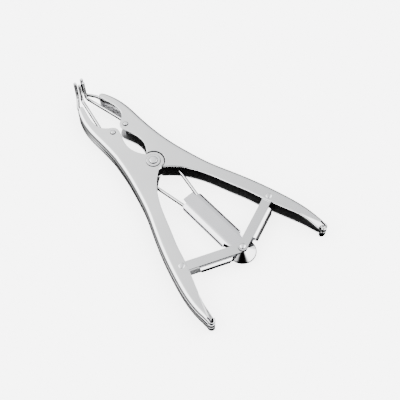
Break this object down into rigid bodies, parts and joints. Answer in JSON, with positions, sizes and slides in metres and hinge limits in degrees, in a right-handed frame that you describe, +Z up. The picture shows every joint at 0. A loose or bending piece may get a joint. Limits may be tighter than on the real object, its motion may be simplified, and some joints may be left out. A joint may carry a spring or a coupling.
{
  "type": "elastomer ring pliers",
  "caption": "Pressed steel pliers with channel handles and toggle links; squeezing them draws back a sleeve and spreads upright prongs to stretch an elastic ring.",
  "frame": {"origin": "main pivot axis, in the plane of the lower rivet heads that the pliers rest on", "axes": "+Y along the pliers to the prongs, +X to the right handle seen from above, +Z up along the prongs"},
  "size_m": [0.1218, 0.2296, 0.0281],
  "materials": {
    "handle_steel": "polished",
    "link_steel": "polished",
    "wire_steel": "polished",
    "rivet_steel": "polished",
    "disc_steel": "turned and polished"
  },
  "bodies": {
    "left_arm": {"left_handle": "handle_steel", "left_outer_prong": "wire_steel", "left_guide_rivet": "rivet_steel", "left_link_rivet": "rivet_steel", "main_pivot_rivet": "rivet_steel", "pivot_washer": "handle_steel"},
    "right_arm": {"right_handle": "handle_steel", "right_outer_prong": "wire_steel", "right_guide_rivet": "rivet_steel", "right_link_rivet": "rivet_steel"},
    "left_toggle": {"left_link": "link_steel"},
    "right_toggle": {"right_link": "link_steel"},
    "draw_bar": {"draw_sleeve": "link_steel", "apex_disc": "disc_steel", "apex_rivet": "rivet_steel"},
    "left_puller": {"left_draw_wire": "wire_steel"},
    "right_puller": {"right_draw_wire": "wire_steel"}
  },
  "joints": [
    {"name": "handle_fold", "type": "hinge", "parent": "left_arm", "child": "right_arm", "pos_m": [0, 0, 0.00815], "axis": [0, 0, -1], "range_deg": [0, 18]},
    {"name": "left_link_turn", "type": "hinge", "parent": "left_arm", "child": "left_toggle", "pos_m": [-0.0446, -0.0843, 0.00815], "axis": [0, 0, -1], "range_deg": [0, 38.5]},
    {"name": "apex_turn", "type": "hinge", "parent": "left_toggle", "child": "draw_bar", "pos_m": [0, -0.1021, 0.00815], "axis": [0, 0, 1], "range_deg": [0, 29.5]},
    {"name": "right_link_turn", "type": "hinge", "parent": "draw_bar", "child": "right_toggle", "pos_m": [0, -0.1021, 0.00815], "axis": [0, 0, 1], "range_deg": [0, 29.5]},
    {"name": "left_wire_turn", "type": "hinge", "parent": "draw_bar", "child": "left_puller", "pos_m": [-0.0062, -0.049, 0.00815], "axis": [0, 0, 1], "range_deg": [0, 4.9]},
    {"name": "right_wire_turn", "type": "hinge", "parent": "draw_bar", "child": "right_puller", "pos_m": [0.0062, -0.049, 0.00815], "axis": [0, 0, -1], "range_deg": [0, 4.9]}
  ],
  "couplings": [
    {"joint": "left_link_turn", "follows": "handle_fold", "ratio": 2.138},
    {"joint": "apex_turn", "follows": "handle_fold", "ratio": 1.638},
    {"joint": "right_link_turn", "follows": "handle_fold", "ratio": 1.638},
    {"joint": "left_wire_turn", "follows": "handle_fold", "ratio": 0.27},
    {"joint": "right_wire_turn", "follows": "handle_fold", "ratio": 0.27}
  ]
}
